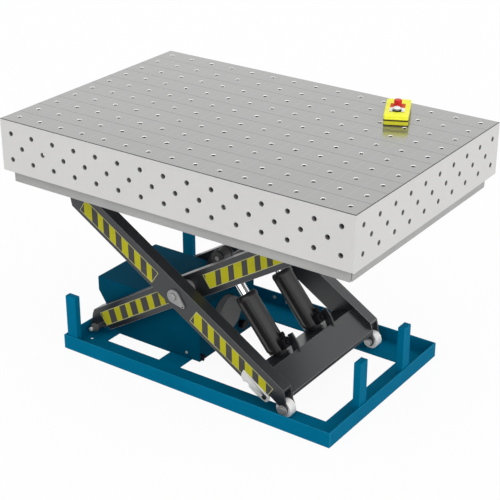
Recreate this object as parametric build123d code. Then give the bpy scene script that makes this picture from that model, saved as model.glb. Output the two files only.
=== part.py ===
from build123d import *
import math
import os

# Height adjustable welding table: a perforated box table on a scissor lift.
# Millimetres. Origin on the floor under the middle of the table, +X along the long side,
# +Z up. The part is drawn at the height seen in the photograph.

# Driving sizes of the table
table_length = 1500.0
table_width = 1000.0
table_depth = 200.0
table_plate = 12.0
hole_pitch = 100.0
side_row_pitch = 50.0
hole_radius = 8.0
rib_plate = 8.0

# Driving sizes of the platform
platform_length = 1450.0
platform_width = 950.0
platform_plate = 6.0
platform_rim = 36.0
rail_height = 44.0
rail_width = 48.0
rail_length = 390.0

# Driving sizes of the scissor
arm_angle = 33.8
arm_pins = 1150.0
arm_depth = 100.0
arm_width = 50.0
arm_wall = 6.0
arm_skew = 22.0
inner_arm_drop = 4.0
outer_arm_y = 305.0
inner_arm_y = 220.0
pivot_x = -577.8
roller_radius = 33.0
roller_width = 36.0
roller_gap = 0.2
axle_radius = 12.0
shaft_radius = 15.0
centre_pin_radius = 20.0
bush_radius = 30.0
running_gap = 0.08
side_gap = 0.3

# Driving sizes of the cylinders
cylinder_y = 118.0
barrel_radius = 40.0
barrel_wall = 7.0
barrel_start = 32.0
barrel_end = 278.0
rod_radius = 20.0
piston_at = 172.0
piston_length = 20.0
pipe_radius = 10.0
pipe_start = 26.0
pipe_end = 240.0
foot_pin_radius = 10.0
foot_half = 19.0
foot_cheek = 8.0
foot_head = 16.0
eye_pin_radius = 10.0
eye_play = 8.5
eye_width = 40.0
foot_s = 421.3
foot_t = -18.2
ramp_s = 386.0
ramp_t = -31.0
eye_s = 106.0
eye_t = 46.0
tube_radius = 30.0

# Driving sizes of the base
base_length = 1225.0
base_width = 777.0
base_wall = 60.0
sheet = 6.0
strip_inner_y = 257.0
opening_left = -146.0
opening_right = 516.0
post_top = 235.0
cover_left = -604.0
cover_right = -103.0
cover_half_width = 183.0
cover_top = 232.0
lug_radius = 24.0
collar_radius = 17.0
collar_width = 6.0
shaft_nose = 12.0
motor_radius = 70.0
motor_end = -75.0

# Driving sizes of the hand pendant
pendant_x = 426.0
pendant_y = 328.0
pendant_turn = 25.3
pendant_length = 180.0
pendant_width = 89.0
pendant_height = 41.0

# Heights and places that follow from the driving sizes
angle = math.radians(arm_angle)
cos_a = math.cos(angle)
sin_a = math.sin(angle)
half = arm_pins / 2
low_z = sheet + roller_radius
mid_x = pivot_x + half * cos_a
mid_z = low_z + half * sin_a
high_z = low_z + arm_pins * sin_a
roller_x = pivot_x + arm_pins * cos_a
rail_z = high_z + roller_radius + side_gap
deck_z = rail_z + rail_height
floor_z = deck_z + platform_plate
top_z = floor_z + table_depth
under_top_z = top_z - table_plate
outer_in = outer_arm_y - arm_width / 2
outer_out = outer_arm_y + arm_width / 2
inner_in = inner_arm_y - arm_width / 2
inner_out = inner_arm_y + arm_width / 2
half_x = base_length / 2
half_y = base_width / 2


def slab(x0, x1, y0, y1, z0, z1):
    block = Box(x1 - x0, y1 - y0, z1 - z0)
    return Pos((x0 + x1) / 2, (y0 + y1) / 2, (z0 + z1) / 2) * block


def pin_y(x, z, radius, y0, y1):
    return Pos(x, (y0 + y1) / 2, z) * Rot(90, 0, 0) * Cylinder(radius, abs(y1 - y0))


def pin_x(y, z, radius, x0, x1):
    return Pos((x0 + x1) / 2, y, z) * Rot(0, 90, 0) * Cylinder(radius, abs(x1 - x0))


def pin_z(x, y, radius, z0, z1):
    return Pos(x, y, (z0 + z1) / 2) * Cylinder(radius, z1 - z0)


def turned(outline):
    # A turned piece: (radius, height) points revolved about the Z axis.
    return revolve(Plane.XZ * Polygon(*outline, align=None), axis=Axis.Z, revolution_arc=360)


def plate_y(points, y0, y1):
    face = Plane(origin=(0, y1, 0), x_dir=(1, 0, 0), z_dir=(0, -1, 0)) * Polygon(*points, align=None)
    return extrude(face, amount=y1 - y0, dir=(0, -1, 0))


def outer_xz(s, t):
    return (mid_x + s * cos_a + t * sin_a, mid_z - s * sin_a + t * cos_a)


def inner_xz(s, t):
    return (mid_x + s * cos_a - t * sin_a, mid_z + s * sin_a + t * cos_a)


def back_too(part):
    return part + mirror(part, about=Plane.XZ)


def link(p, rp, q, rq, y0, y1):
    # A flat link: two round ends and the straight sides that touch both.
    dx = q[0] - p[0]
    dz = q[1] - p[1]
    gap = math.hypot(dx, dz)
    lead = math.atan2(dz, dx)
    swing = math.acos((rp - rq) / gap)
    side = []
    for turn in (swing, -swing):
        a = lead + turn
        side.append((p[0] + rp * math.cos(a), p[1] + rp * math.sin(a)))
        side.append((q[0] + rq * math.cos(a), q[1] + rq * math.sin(a)))
    body = plate_y([side[0], side[1], side[3], side[2]], y0, y1)
    return body + pin_y(p[0], p[1], rp, y0, y1) + pin_y(q[0], q[1], rq, y0, y1)


def arm(place, flip, drop, y0, y1):
    # The arm in its own frame: s along the pin line, t across it, flip mirrors s.
    def edge(s, side):
        return side * arm_depth / 2 + arm_skew * s / half - drop

    end = [
        (half - 75, edge(half - 75, -1)),
        (half - 65, 4),
        (half - 15, 4),
        (half + 14, -2),
        (half + 17, 13),
        (half + 9, 24),
        (half - 6, 34),
        (half - 25, 54),
        (half - 43, edge(half - 43, 1)),
    ]
    other = [(-s, -t) for s, t in end]
    other[0] = (-(half - 75), edge(-(half - 75), 1))
    other[-1] = (-(half - 43), edge(-(half - 43), -1))
    outline = [place(flip * s, t) for s, t in end + other]
    body = plate_y(outline, y0, y1)
    for s in (half, -half):
        x, z = place(flip * s, 0)
        body = body + pin_y(x, z, 20, y0, y1)
    far = half + 60
    hollow = [
        (-far, edge(-far, -1) + arm_wall),
        (far, edge(far, -1) + arm_wall),
        (far, edge(far, 1) - arm_wall),
        (-far, edge(-far, 1) - arm_wall),
    ]
    body = body - plate_y([place(flip * s, t) for s, t in hollow], y0 + arm_wall, y1 - arm_wall)
    # The round lugs are cut hollow too, so that a roller or a lug fits between the walls.
    for s in (half, -half):
        x, z = place(flip * s, 0)
        body = body - pin_y(x, z, 36, y0 + arm_wall, y1 - arm_wall)
    return body


parts = {}

# Table: perforated top, four perforated sides and the ribs that stand on the platform
columns = int(table_length // hole_pitch)
rows = int(table_width // hole_pitch)
first_x = -(columns - 1) * hole_pitch / 2
first_y = -(rows - 1) * hole_pitch / 2
corner_x = -first_x
corner_y = -first_y
bore_x = first_x + hole_pitch * (columns // 2)
bore_y = first_y + hole_pitch * (rows // 2)
round_holes = [(-corner_x, -corner_y), (corner_x, -corner_y), (-corner_x, corner_y)]
round_holes = round_holes + [(corner_x, corner_y), (bore_x, bore_y)]
top_sketch = Rectangle(table_length, table_width)
flat_holes = []
for i in range(columns):
    for j in range(rows):
        spot = (first_x + i * hole_pitch, first_y + j * hole_pitch)
        near = [p for p in round_holes if math.dist(p, spot) < 1]
        if near:
            flat_holes.append(Pos(*spot) * Circle(hole_radius))
        else:
            flat_holes.append(Pos(*spot) * RegularPolygon(hole_radius * 1.054, 8, rotation=22.5))
top_sketch = top_sketch - flat_holes
parts["table_top"] = Pos(0, 0, under_top_z) * extrude(top_sketch, amount=table_plate)


def side_plate(span, count):
    # A side plate drawn flat: u along the table, v up from its lower edge.
    tall = under_top_z - floor_z
    sketch = Pos(0, tall / 2) * Rectangle(span, tall)
    cuts = []
    for row in range(3):
        holes = count if row != 1 else count - 1
        down = side_row_pitch * (row + 1) - table_plate
        for i in range(holes):
            u = (i - (holes - 1) / 2) * hole_pitch
            cuts.append(Pos(u, tall - down) * RegularPolygon(hole_radius * 1.1, 6))
    return extrude(sketch - cuts, amount=table_plate)


long_side = side_plate(table_length, columns)
short_side = side_plate(table_width - 2 * table_plate, rows)
front_y = table_width / 2
end_x = table_length / 2
parts["table_front"] = Pos(0, -front_y + table_plate, floor_z) * Rot(90, 0, 0) * long_side
parts["table_back"] = Pos(0, front_y, floor_z) * Rot(90, 0, 0) * long_side
right_plane = Plane(origin=(end_x - table_plate, 0, floor_z), x_dir=(0, 1, 0), z_dir=(1, 0, 0))
left_plane = Plane(origin=(-end_x, 0, floor_z), x_dir=(0, 1, 0), z_dir=(1, 0, 0))
parts["table_right"] = right_plane * short_side
parts["table_left"] = left_plane * short_side

rib_y = table_width / 2 - table_plate
third = columns // 3
rib_spots = [
    first_x + hole_pitch * (third - 0.5),
    first_x + hole_pitch * (columns - third - 0.5),
]
long_rib_y = first_y + hole_pitch * (rows // 2 - 0.5)
ribs = []
for x in rib_spots:
    ribs.append(slab(x - rib_plate / 2, x + rib_plate / 2, -rib_y, rib_y, floor_z, under_top_z))
edges_x = [-end_x + table_plate] + rib_spots + [end_x - table_plate]
long_y0 = long_rib_y - rib_plate / 2
long_y1 = long_rib_y + rib_plate / 2
for k in range(3):
    x0 = edges_x[k] + (rib_plate / 2 if k > 0 else 0)
    x1 = edges_x[k + 1] - (rib_plate / 2 if k < 2 else 0)
    ribs.append(slab(x0, x1, long_y0, long_y1, floor_z, under_top_z))
parts["table_ribs"] = Compound([r.solid() for r in ribs])

# Platform: a flat deck with four turned-down rims, lugs, pins and the two roller rails
px = platform_length / 2
py = platform_width / 2
rim = platform_plate
slit = 3.0
parts["platform_deck"] = slab(-px, px, -py, py, deck_z, floor_z)
parts["platform_rim_front"] = slab(-px + slit, px - slit, -py, -py + rim, deck_z - platform_rim, deck_z)
parts["platform_rim_back"] = slab(-px + slit, px - slit, py - rim, py, deck_z - platform_rim, deck_z)
rim_y = py - rim - slit
parts["platform_rim_right"] = slab(px - rim, px, -rim_y, rim_y, deck_z - platform_rim, deck_z)
parts["platform_rim_left"] = slab(-px, -px + rim, -rim_y, rim_y, deck_z - platform_rim, deck_z)

lug_gap = 6.0
lug_plate = 12.0
lugs = Part()
for y0 in (outer_in - lug_gap - lug_plate, outer_out + lug_gap):
    shape = [
        (pivot_x - 45, deck_z),
        (pivot_x - 20, high_z),
        (pivot_x + 20, high_z),
        (pivot_x + 45, deck_z),
    ]
    cheek = plate_y(shape, y0, y0 + lug_plate) + pin_y(pivot_x, high_z, 20, y0, y0 + lug_plate)
    lugs = lugs + (cheek - pin_y(pivot_x, high_z, axle_radius, y0, y0 + lug_plate))
parts["hinge_lugs"] = back_too(lugs)
pin_in = outer_in - lug_gap - lug_plate - 5
pin_out = outer_out + lug_gap + lug_plate + 5
hinge = pin_y(pivot_x, high_z, axle_radius, pin_in, pin_out)
hinge = hinge + pin_y(pivot_x, high_z, 16, pin_in, pin_in + 5)
hinge = hinge + pin_y(pivot_x, high_z, 16, pin_out - 5, pin_out)
hinge = hinge + pin_y(pivot_x, high_z, 18, outer_in - lug_gap, outer_in - side_gap)
hinge = hinge + pin_y(pivot_x, high_z, 18, outer_out + side_gap, outer_out + lug_gap)
parts["hinge_pins"] = back_too(hinge)

rail_x0 = roller_x - 128
rail_x1 = min(rail_x0 + rail_length, px - rim - 5)
rail_y0 = inner_arm_y - rail_width / 2
rail_y1 = inner_arm_y + rail_width / 2
rail = slab(rail_x0, rail_x1, rail_y0, rail_y1, rail_z, deck_z)
rail = rail - slab(rail_x0 - 1, rail_x1 + 1, rail_y0 + 5, rail_y1 - 5, rail_z + 5, deck_z - 5)
parts["roller_rails"] = back_too(rail)

# Inner arms: fixed at the lower left, rollers at the upper right
arm_i = arm(inner_xz, -1, inner_arm_drop, inner_in, inner_out)
arm_i = arm_i - pin_y(pivot_x, low_z, shaft_radius + running_gap, inner_in - 1, inner_out + 1)
arm_i = arm_i - pin_y(roller_x, high_z, axle_radius, inner_in - 1, inner_out + 1)
arm_i = arm_i - pin_y(mid_x, mid_z, bush_radius, inner_in - 1, inner_out + 1)
parts["inner_arm_back"] = arm_i
parts["inner_arm_front"] = mirror(arm_i, about=Plane.XZ)
bush = pin_y(mid_x, mid_z, bush_radius, inner_in, outer_in - side_gap)
bush = bush - pin_y(mid_x, mid_z, centre_pin_radius + running_gap, inner_in - 1, outer_in + 1)
parts["centre_bushes"] = back_too(bush)
axle = pin_y(roller_x, high_z, axle_radius, inner_in - 6, inner_out + 6)
axle = axle + pin_y(roller_x, high_z, 16, inner_in - 6, inner_in)
axle = axle + pin_y(roller_x, high_z, 16, inner_out, inner_out + 6)
parts["upper_axles"] = back_too(axle)

tube_x, tube_z = inner_xz(35, -5)
tube = pin_y(tube_x, tube_z, tube_radius, -inner_in, inner_in)
parts["torque_tube"] = tube
rest_eye = inner_xz(eye_s, eye_t)
cheek_in = eye_width / 2 + 0.5
cheek_out = cheek_in + 8
eye_hole_radius = eye_pin_radius + eye_play
bracket = Part()
for y0 in (cylinder_y - cheek_out, cylinder_y + cheek_in):
    cheek = link((tube_x, tube_z), tube_radius + 9, rest_eye, eye_hole_radius + 12, y0, y0 + 8)
    cheek = cheek - pin_y(tube_x, tube_z, tube_radius, y0, y0 + 8)
    cheek = cheek - pin_y(rest_eye[0], rest_eye[1], eye_hole_radius, y0, y0 + 8)
    bracket = bracket + cheek
parts["rod_brackets"] = back_too(bracket)

# Outer arms: hinged to the platform at the upper left, rollers at the lower right
arm_o = arm(outer_xz, 1, 0, outer_in, outer_out)
arm_o = arm_o + pin_y(mid_x, mid_z, bush_radius + 2, outer_in + arm_wall, outer_out - arm_wall)
arm_o = arm_o - pin_y(pivot_x, high_z, axle_radius + running_gap, outer_in - 1, outer_out + 1)
arm_o = arm_o - pin_y(roller_x, low_z, axle_radius, outer_in - 1, outer_out + 1)
arm_o = arm_o - pin_y(mid_x, mid_z, centre_pin_radius, outer_in - 1, outer_out + 1)
prop_s = half - 80
prop_t = -12
prop_x, prop_z = outer_xz(prop_s, prop_t)
parts["outer_arm_back"] = arm_o
front_arm = mirror(arm_o, about=Plane.XZ)
front_arm = front_arm - pin_y(prop_x, prop_z, 6, -outer_out - 1, -outer_out + arm_wall + 1)
parts["outer_arm_front"] = front_arm

centre = pin_y(mid_x, mid_z, centre_pin_radius, inner_in + side_gap, outer_out)
parts["centre_pins"] = back_too(centre)
flag_y = outer_out
head = outer_xz(-2, 0)
tail = outer_xz(52, 1)
flag = link(head, 22, tail, 9, flag_y, flag_y + 8)
flag = flag + pin_y(head[0], head[1], 14, flag_y + 8, flag_y + 13)
flag = flag + pin_y(tail[0], tail[1], 5, flag_y + 8, flag_y + 12)
parts["pin_flags"] = back_too(flag)
axle = pin_y(roller_x, low_z, axle_radius, outer_in - 14, outer_out + 8)
axle = axle + pin_y(roller_x, low_z, 13.5, outer_in - 14, outer_in)
axle = axle + (pin_y(roller_x, low_z, 20, outer_out, outer_out + 5))
parts["lower_axles"] = back_too(axle)

# Cross plate: a ramp that carries the cylinder feet, folded over into a wide flat face
a = (ramp_s, ramp_t)
b = (ramp_s + 52, ramp_t + 77)
c = (ramp_s + 169, ramp_t + 81)
d = (ramp_s + 179, ramp_t + 74)
fold = [a, b, c, d, (d[0] - 3.4, d[1] - 4.9), (c[0] - 1.9, c[1] - 6.1), (b[0] + 3.3, b[1] - 5.9)]
fold.append((a[0] + 5, a[1] - 3.4))
plate = plate_y([outer_xz(s, t) for s, t in fold], -outer_in, outer_in)
foot = outer_xz(foot_s, foot_t)


def ramp(share, sink=0.0):
    # A point on the ramp, from its free edge (0) to the fold (1), sunk into the plate.
    s = a[0] + (b[0] - a[0]) * share + 0.83 * sink
    t = a[1] + (b[1] - a[1]) * share - 0.56 * sink
    return (s, t)


notch_half = foot_half + 1 + foot_cheek
slot = [ramp(-0.2, -8), ramp(0.6, -8), ramp(0.6, 14), ramp(-0.2, 14)]
feet = Part()
for y in (-cylinder_y, cylinder_y):
    slot_half = foot_half + 1
    plate = plate - plate_y([outer_xz(s, t) for s, t in slot], y - slot_half, y + slot_half)
    for y0 in (y - notch_half, y + notch_half - foot_cheek):
        shape = [ramp(0.03, 3), (foot_s - 4, foot_t - 13), (foot_s + 4, foot_t + 13), ramp(0.85, 3)]
        cheek = plate_y([outer_xz(s, t) for s, t in shape], y0, y0 + foot_cheek)
        cheek = cheek + pin_y(foot[0], foot[1], foot_head, y0, y0 + foot_cheek)
        feet = feet + (cheek - pin_y(foot[0], foot[1], foot_pin_radius, y0, y0 + foot_cheek))
    ear = [ramp(0.74, 2), (ramp_s - 12, ramp_t + 89), (ramp_s - 5, ramp_t + 110)]
    ear = ear + [(ramp_s + 34, ramp_t + 98), (b[0] + 14, b[1] + 1), (b[0], b[1] - 4)]
    y0 = y + notch_half - foot_cheek
    feet = feet + plate_y([outer_xz(s, t) for s, t in ear], y0, y0 + foot_cheek)
parts["foot_clevises"] = feet - plate
parts["cross_plate"] = plate
foot_pins = Part()
for y in (-cylinder_y, cylinder_y):
    pin_end = notch_half + 5
    foot_pins = foot_pins + pin_y(foot[0], foot[1], foot_pin_radius, y - pin_end, y + pin_end)
    foot_pins = foot_pins + pin_y(foot[0], foot[1], foot_head - 2, y - pin_end, y - notch_half)
    foot_pins = foot_pins + pin_y(foot[0], foot[1], foot_head - 2, y + notch_half, y + pin_end)
parts["foot_pins"] = foot_pins

# Service prop: a notched flat bar that swings on a pin in the front outer arm
prop_y0 = -outer_out - side_gap - 6
prop_y1 = -outer_out - side_gap
bar = [
    (prop_s - 122, prop_t + 14),
    (prop_s - 119, prop_t - 6),
    (prop_s - 113, prop_t - 17),
    (prop_s - 96, prop_t - 25),
    (prop_s - 91, prop_t - 21),
    (prop_s - 89, prop_t - 15),
    (prop_s - 74, prop_t - 16),
    (prop_s - 68, prop_t - 23),
    (prop_s - 23, prop_t - 23),
    (prop_s + 16, prop_t - 16),
    (prop_s + 22, prop_t),
    (prop_s + 14, prop_t + 14),
]
prop = plate_y([outer_xz(s, t) for s, t in bar], prop_y0, prop_y1)
parts["service_prop"] = prop - pin_y(prop_x, prop_z, 6 + running_gap, prop_y0 - 1, prop_y1 + 1)
bolt = pin_y(prop_x, prop_z, 6, prop_y0 - 5, -outer_out + arm_wall)
parts["prop_pin"] = bolt + pin_y(prop_x, prop_z, 9, prop_y0 - 5, prop_y0 - side_gap)

# Four rollers, turned with a chamfered tread
wheel_radius = roller_radius - roller_gap
wide = roller_width / 2
tread = [
    (axle_radius + running_gap, -wide),
    (wheel_radius - 2, -wide),
    (wheel_radius, -wide + 2),
    (wheel_radius, wide - 2),
    (wheel_radius - 2, wide),
    (axle_radius + running_gap, wide),
]
for name, x, z, y in (
    ("lower_roller_back", roller_x, low_z, outer_arm_y),
    ("lower_roller_front", roller_x, low_z, -outer_arm_y),
    ("upper_roller_back", roller_x, high_z, inner_arm_y),
    ("upper_roller_front", roller_x, high_z, -inner_arm_y),
):
    parts[name] = Pos(x, y, z) * Rot(90, 0, 0) * turned(tread)

# Two hydraulic cylinders, drawn along the line from the foot pin to the rod eye
reach = math.hypot(rest_eye[0] - foot[0], rest_eye[1] - foot[1])
ux = (rest_eye[0] - foot[0]) / reach
uz = (rest_eye[1] - foot[1]) / reach
gland = 24.0
bore = barrel_radius - barrel_wall
barrel_outline = [
    (0, barrel_start),
    (barrel_radius, barrel_start),
    (barrel_radius, barrel_end - 22),
    (barrel_radius + 3, barrel_end - 22),
    (barrel_radius + 3, barrel_end - 10),
    (barrel_radius - 2, barrel_end),
    (rod_radius + running_gap, barrel_end),
    (rod_radius + running_gap, barrel_end - gland),
    (bore, barrel_end - gland),
    (bore, barrel_start + 8),
    (0, barrel_start + 8),
]
rod_outline = [
    (0, piston_at - piston_length),
    (bore - side_gap, piston_at - piston_length),
    (bore - side_gap, piston_at),
    (rod_radius, piston_at),
    (rod_radius, reach - 12),
    (0, reach - 12),
]
for name, y in (("back", cylinder_y), ("front", -cylinder_y)):
    along = Plane(origin=(foot[0], y, foot[1]), x_dir=(0, 1, 0), z_dir=(ux, 0, uz))
    neck = Pos(0, 0, barrel_start / 2) * Box(2 * foot_half, 40, barrel_start)
    barrel = turned(barrel_outline) + neck + Rot(0, 90, 0) * Cylinder(20, 2 * foot_half)
    barrel = barrel - Rot(0, 90, 0) * Cylinder(foot_pin_radius + running_gap, 100)
    parts["barrel_" + name] = along * barrel

    rod = turned(rod_outline)
    rod = rod + Pos(0, 0, reach) * Rot(0, 90, 0) * Cylinder(28, eye_width)
    rod = rod + Pos(0, 0, reach) * Rot(0, 90, 0) * Cylinder(eye_pin_radius, 2 * cheek_out + 12)
    cap = eye_hole_radius + eye_play
    for side in (-1, 1):
        place = Pos(side * (cheek_out + side_gap + 2.85), 0, reach)
        rod = rod + place * Rot(0, 90, 0) * Cylinder(cap, 5.7)
    parts["rod_" + name] = along * rod

    # Pipe along the barrel, and on its other side the valve block with its knob
    out_x = -math.sqrt(0.5)
    out_y = math.sqrt(0.5)
    pipe_at = barrel_radius + 6 + pipe_radius
    pipe_middle = (pipe_start + pipe_end) / 2
    valve = Pos(pipe_at * out_x, pipe_at * out_y, pipe_middle) * Cylinder(pipe_radius, pipe_end - pipe_start)
    for z in (pipe_start + 34, pipe_end - 14):
        boss_at = barrel_radius + 5
        boss = Plane(origin=(boss_at * out_x, boss_at * out_y, z), z_dir=(out_x, out_y, 0))
        valve = valve + boss * Cylinder(pipe_radius - 3, 22)
    block_top = barrel_start + 34
    valve = valve + slab(-26, 9, -barrel_radius - 22, -barrel_radius + 6, block_top - 37, block_top)
    knob = Pos(8, -barrel_radius - 9, block_top + 13) * Cylinder(9, 26)
    valve = valve + knob
    solid = Pos(0, 0, (barrel_start + barrel_end) / 2) * Cylinder(barrel_radius, barrel_end - barrel_start)
    parts["cylinder_valve_" + name] = along * (valve - solid)

# Base: floor strips, floor pan, four walls, posts, pivot lugs and shaft
wall_x = half_x - sheet
wall_y = half_y - sheet
parts["wall_front"] = slab(-half_x, half_x, -half_y, -wall_y, 0, base_wall)
parts["wall_back"] = slab(-half_x, half_x, wall_y, half_y, 0, base_wall)
parts["wall_right"] = slab(wall_x, half_x, -wall_y, wall_y, 0, base_wall)
parts["wall_left"] = slab(-half_x, -wall_x, -wall_y, wall_y, 0, base_wall)
anchor_x = pivot_x + 8
anchor_y = strip_inner_y + 18
strip = slab(-wall_x, wall_x, strip_inner_y, wall_y, 0, sheet)
strip = strip - pin_z(anchor_x, anchor_y, hole_radius, -1, sheet + 1)
parts["floor_strip_back"] = strip
parts["floor_strip_front"] = mirror(strip, about=Plane.XZ)
parts["floor_strip_right"] = slab(opening_right, wall_x, -strip_inner_y, strip_inner_y, 0, sheet)
pan = slab(-wall_x, opening_left, -strip_inner_y, strip_inner_y, 0, sheet)
for side in (-1, 1):
    y0 = side * (strip_inner_y + 178) / 2
    cut_y = (strip_inner_y - 178) / 2
    pan = pan - slab(-508, -245, y0 - cut_y, y0 + cut_y, -1, sheet + 1)
parts["floor_pan"] = pan

posts = Part()
for side in (-1, 1):
    y = side * (wall_y - 13)
    x0 = pivot_x - 19
    tube = slab(x0, x0 + 49, y - 13, y + 13, sheet, post_top)
    posts = posts + (tube - slab(x0 + 3, x0 + 46, y - 10, y + 10, sheet - 1, post_top - 4))
parts["posts_left"] = posts
posts = Part()
for side in (-1, 1):
    y = side * (inner_in - 38)
    tube = slab(wall_x - 27, wall_x, y - 25, y + 25, sheet, post_top)
    posts = posts + (tube - slab(wall_x - 24, wall_x - 3, y - 22, y + 22, sheet - 1, post_top - 4))
parts["posts_right"] = posts

lug_y1 = inner_in - 3
lug_y0 = lug_y1 - 16
shape = [
    (pivot_x - lug_radius, sheet),
    (pivot_x - lug_radius, low_z),
    (pivot_x + lug_radius, low_z),
    (pivot_x + lug_radius, sheet),
]
lug = plate_y(shape, lug_y0, lug_y1) + pin_y(pivot_x, low_z, lug_radius, lug_y0, lug_y1)
lug = lug - pin_y(pivot_x, low_z, shaft_radius, lug_y0, lug_y1)
parts["pivot_lugs"] = back_too(lug)
shaft_end = inner_out + 10
shaft = pin_y(pivot_x, low_z, shaft_radius, -shaft_end, shaft_end)
for side in (-1, 1):
    y0 = side * (inner_out + side_gap)
    y1 = side * (inner_out + side_gap + collar_width)
    shaft = shaft + pin_y(pivot_x, low_z, collar_radius, min(y0, y1), max(y0, y1))
    y2 = side * shaft_end
    y3 = side * (shaft_end + shaft_nose)
    shaft = shaft + pin_y(pivot_x, low_z, shaft_radius / 2, min(y2, y3), max(y2, y3))
    y4 = side * lug_y1
    y5 = side * (inner_in - side_gap)
    shaft = shaft + pin_y(pivot_x, low_z, lug_radius, min(y4, y5), max(y4, y5))
parts["pivot_shaft"] = shaft

# Power unit: slanted cover, motor that stands out of its end and the valve manifold
slant_z = 173.0
cover_shape = [
    (cover_left + 110, sheet),
    (cover_left, slant_z),
    (cover_left, cover_top),
    (cover_right, cover_top),
    (cover_right, sheet),
]
skin = 4.0
inside_shape = [
    (cover_left + 110 + skin, sheet - 1),
    (cover_left + 110 + skin, sheet),
    (cover_left + skin, slant_z),
    (cover_left + skin, cover_top - skin),
    (cover_right - skin, cover_top - skin),
    (cover_right - skin, sheet - 1),
]
motor_y = -15.0
motor_z = 155.0
cover = plate_y(cover_shape, -cover_half_width, cover_half_width)
cover = cover - plate_y(inside_shape, -cover_half_width + skin, cover_half_width - skin)
cover = cover - pin_x(motor_y, motor_z, motor_radius, cover_right - 20, cover_right + 20)
parts["power_unit_cover"] = cover
motor = pin_x(motor_y, motor_z, motor_radius, cover_right - 180, motor_end)
motor = motor + slab(cover_right - 150, cover_right - 30, motor_y - 40, motor_y + 40, sheet, motor_z)
parts["pump_motor"] = motor
plug_y = -cover_half_width + 10
fittings = pin_x(plug_y, sheet + 27, 6, cover_right, cover_right + 20)
fittings = fittings + pin_x(plug_y, sheet + 11, 6, cover_right, cover_right + 12)
fittings = fittings + pin_x(85, 58, 10, cover_right, cover_right + 14)
fittings = fittings + pin_x(85, 58, 18, cover_right + 6, cover_right + 26)
parts["pump_fittings"] = fittings

# Hand pendant lying on the table, turned in plan
hand = Pos(pendant_x, pendant_y, top_z) * Rot(0, 0, pendant_turn)
mid = pendant_height / 2
groove = 1.5
stem_radius = 8.0
case = RectangleRounded(pendant_width, pendant_length, 7)
neck = RectangleRounded(pendant_width - 5, pendant_length - 5, 5)
lower = extrude(case, amount=mid - groove)
lower = lower + Pos(0, 0, mid - groove) * extrude(neck, amount=2 * groove)
parts["pendant_base"] = hand * lower
lid = Pos(0, 0, mid + groove) * extrude(case, amount=mid - groove)
lid = chamfer(lid.edges().group_by(Axis.Z)[-1], 2.5)
for y in (8, -40):
    lid = lid - Pos(0, y, pendant_height) * Cylinder(stem_radius + running_gap, 24)
parts["pendant_lid"] = hand * lid


def button(height, radius, lift, top):
    # A stem in the lid with a rounded cap on it.
    z0 = height - 8
    outline = [(0, z0), (stem_radius, z0), (stem_radius, height + lift), (radius, height + lift)]
    outline = outline + [(radius, height + top - 3), (radius - 3, height + top), (0, height + top)]
    return turned(outline)


parts["red_button"] = hand * Pos(0, 8, 0) * button(pendant_height, 14.5, 6, 26)
parts["white_button"] = hand * Pos(0, -40, 0) * button(pendant_height, 14, 6, 14)
collar = Pos(0, -40, pendant_height + 1) * (Cylinder(17, 2) - Cylinder(stem_radius + 0.5, 4))
plate = Pos(0, 13.5, pendant_height + 0.5) * Box(54, 43, 1)
plate = plate - Pos(0, 8, pendant_height) * Cylinder(stem_radius + 0.5, 6)
parts["button_plates"] = hand * (plate + collar)

os.makedirs("parts", exist_ok=True)
for name, part in parts.items():
    export_step(part, "parts/" + name + ".step")
print(len(parts), "nodes")
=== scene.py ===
# %% [markdown]
# # A height adjustable welding table, from CAD frame to picture
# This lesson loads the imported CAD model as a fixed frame, gives every part its material,
# and adds the pieces that plain CAD leaves out. All lengths are metres, all places are in
# the row frame: origin on the floor under the middle of the table, +X along its long side.

# %% Load the frame
import bpy
import bmesh
import math
from mathutils import Matrix, Vector


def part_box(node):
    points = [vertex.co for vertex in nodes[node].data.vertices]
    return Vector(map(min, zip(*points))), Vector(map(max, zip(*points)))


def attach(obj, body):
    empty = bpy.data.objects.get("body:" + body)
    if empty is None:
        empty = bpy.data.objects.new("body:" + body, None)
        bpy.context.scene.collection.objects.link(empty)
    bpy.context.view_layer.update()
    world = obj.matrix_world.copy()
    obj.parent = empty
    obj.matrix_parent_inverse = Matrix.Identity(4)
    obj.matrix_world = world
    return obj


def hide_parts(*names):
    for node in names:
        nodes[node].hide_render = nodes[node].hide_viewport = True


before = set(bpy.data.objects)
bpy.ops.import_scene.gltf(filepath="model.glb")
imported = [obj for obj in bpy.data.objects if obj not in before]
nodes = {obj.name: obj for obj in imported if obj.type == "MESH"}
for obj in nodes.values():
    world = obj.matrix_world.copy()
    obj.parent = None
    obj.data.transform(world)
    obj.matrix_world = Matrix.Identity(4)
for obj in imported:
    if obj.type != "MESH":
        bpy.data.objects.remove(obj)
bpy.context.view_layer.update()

# %% [markdown]
# ## The sizes that the picture and the CAD share
# The scissor is two pairs of arms, 1.15 m from pin to pin, raised to 33.8 degrees. A point on
# an arm is given as (s, t): s along its pin line from the centre pin, t across it. SKEW is how
# much an arm's middle line leans off its pin line. OUTER_Y and INNER_Y are the outward faces of
# the outer and the inner arms. The holes lie PITCH apart, HOLE is their radius, and PLATE is the
# thickness of the table's plates.

# %% Shared sizes
PITCH = 0.1
HOLE = 0.008
PLATE = 0.012
ANGLE = math.radians(33.8)
HALF = 0.575
SKEW = 0.022 / HALF
PIVOT_X = -0.5778
LOW_Z = 0.039
MID = (PIVOT_X + HALF * math.cos(ANGLE), LOW_Z + HALF * math.sin(ANGLE))
OUTER_Y = 0.330
INNER_Y = 0.245
TOP_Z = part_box("table_top")[1][2]
DECK_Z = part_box("platform_deck")[1][2]


def outer(s, t):
    """A point of the outer arms as (x, z)."""
    return (MID[0] + s * math.cos(ANGLE) + t * math.sin(ANGLE),
            MID[1] - s * math.sin(ANGLE) + t * math.cos(ANGLE))


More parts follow.
